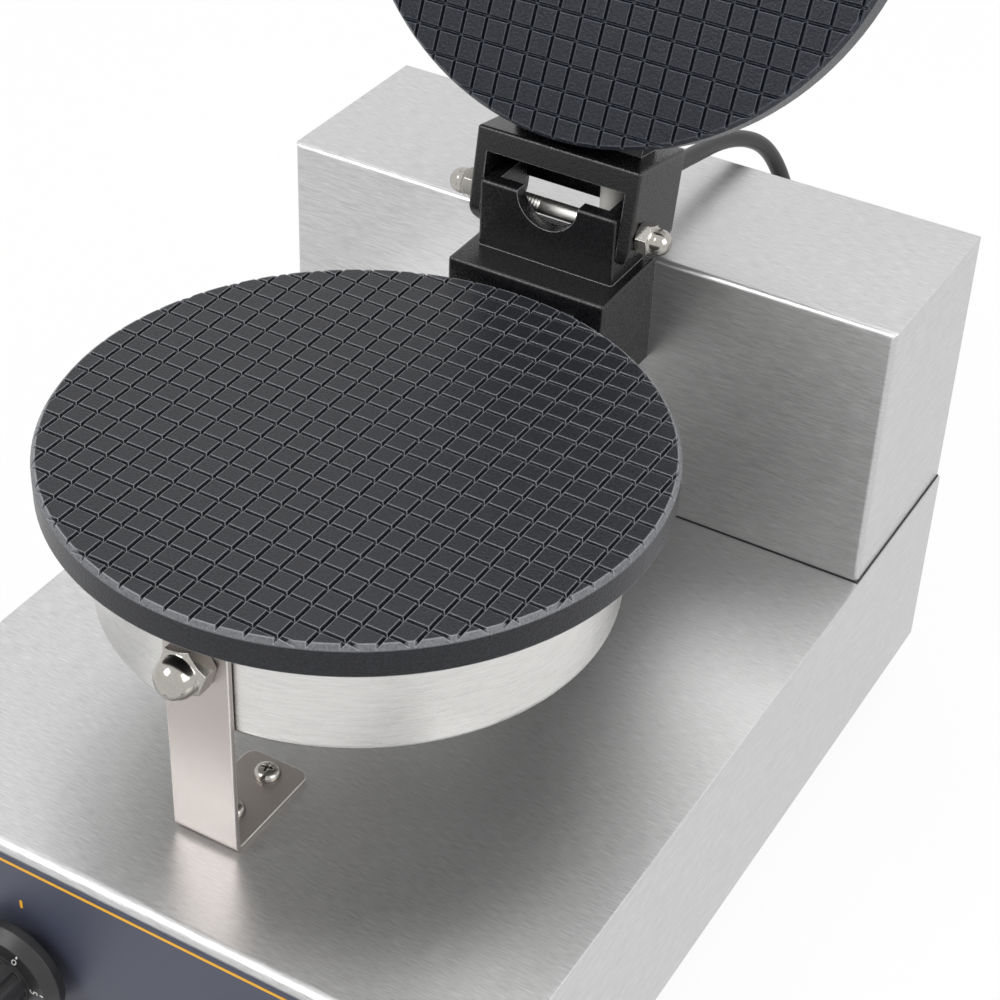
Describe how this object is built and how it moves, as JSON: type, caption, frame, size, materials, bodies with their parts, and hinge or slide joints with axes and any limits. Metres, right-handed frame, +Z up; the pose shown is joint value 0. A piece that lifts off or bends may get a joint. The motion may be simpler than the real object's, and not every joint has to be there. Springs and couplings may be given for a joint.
{
  "type": "waffle cone maker",
  "caption": "Countertop waffle cone maker with a brushed steel base, a hinged pair of round grid plates, dial controls and a lid standing open.",
  "frame": {"origin": "on the table under the middle of the base, between the feet", "axes": "+Z up, +X to the user's right, front with the controls towards -Y"},
  "size_m": [0.25, 0.4232, 0.5264],
  "materials": {
    "brushed_sheet": "brushed stainless, grain along the width",
    "drawn_steel": "drawn stainless, satin",
    "black_casting": "semi-gloss black, worn edges",
    "lower_grid_iron": "machined, seasoned dark",
    "upper_grid_iron": "machined, seasoned blue-black",
    "slate_panel": "satin slate blue",
    "dial_plastic": "satin black",
    "bright_steel": "polished",
    "white_nylon": "plain",
    "foot_rubber": "matt",
    "lead_jacket": "satin",
    "gland_plastic": "satin",
    "amber_lens": "clear amber",
    "switch_plastic": "satin",
    "control_plastic": "plain",
    "element_sheath": "oxidised",
    "mineral_wool": "fibrous",
    "grip_phenolic": "moulded"
  },
  "bodies": {
    "base": {"base_lead_gland": "gland_plastic", "base_shell": "brushed_sheet", "bottom_cover": "brushed_sheet", "bracket_screw_far": "bright_steel", "bracket_screw_near": "bright_steel", "conduit": "drawn_steel", "control_panel": "slate_panel", "foot_1": "foot_rubber", "foot_2": "foot_rubber", "foot_3": "foot_rubber", "foot_4": "foot_rubber", "front_bracket": "brushed_sheet", "hinge_block": "black_casting", "lamp_bezel": "bright_steel", "lamp_lens": "amber_lens", "lid_lead": "lead_jacket", "lower_element": "element_sheath", "lower_pan": "drawn_steel", "lower_plate": "lower_grid_iron", "lower_wool": "mineral_wool", "mains_gland": "gland_plastic", "pan_bolt": "bright_steel", "pan_nut": "bright_steel", "plate_bolt_left": "bright_steel", "plate_bolt_right": "bright_steel", "rear_panel": "brushed_sheet", "rear_screw_1": "bright_steel", "rear_screw_2": "bright_steel", "rear_screw_3": "bright_steel", "rear_screw_4": "bright_steel", "stop_peg": "white_nylon", "switch_case": "switch_plastic", "terminal_block": "control_plastic", "thermostat": "control_plastic", "timer": "control_plastic", "tower_bolt_left": "bright_steel", "tower_bolt_right": "bright_steel", "tower_shell": "brushed_sheet"},
    "lid": {"hinge_yoke": "black_casting", "hinge_stud": "bright_steel", "hinge_nut_left": "bright_steel", "hinge_nut_right": "bright_steel", "yoke_bolt_left": "bright_steel", "yoke_bolt_right": "bright_steel", "upper_plate": "upper_grid_iron", "upper_pan": "drawn_steel", "upper_element": "element_sheath", "upper_wool": "mineral_wool", "handle_bar": "drawn_steel", "handle_grip": "grip_phenolic", "handle_nut": "bright_steel", "handle_screw_left": "bright_steel", "handle_screw_right": "bright_steel", "lid_lead_gland": "gland_plastic"},
    "timer_dial": {"timer_knob": "dial_plastic", "timer_shaft": "bright_steel"},
    "thermostat_dial": {"thermostat_knob": "dial_plastic", "thermostat_shaft": "bright_steel"},
    "power_rocker": {"rocker": "switch_plastic"}
  },
  "joints": [
    {"name": "lid_hinge", "type": "hinge", "parent": "base", "child": "lid", "pos_m": [0, 0.0787, 0.2214], "axis": [1, 0, 0], "range_deg": [0, 113]},
    {"name": "timer_turn", "type": "hinge", "parent": "base", "child": "timer_dial", "pos_m": [-0.0475, -0.1758, 0.049], "axis": [0, 1, 0], "range_deg": [0, 300]},
    {"name": "thermostat_turn", "type": "hinge", "parent": "base", "child": "thermostat_dial", "pos_m": [0.084, -0.1758, 0.049], "axis": [0, 1, 0], "range_deg": [0, 270]},
    {"name": "rocker_tilt", "type": "hinge", "parent": "base", "child": "power_rocker", "pos_m": [-0.097, -0.1758, 0.049], "axis": [1, 0, 0], "range_deg": [0, 16]}
  ]
}
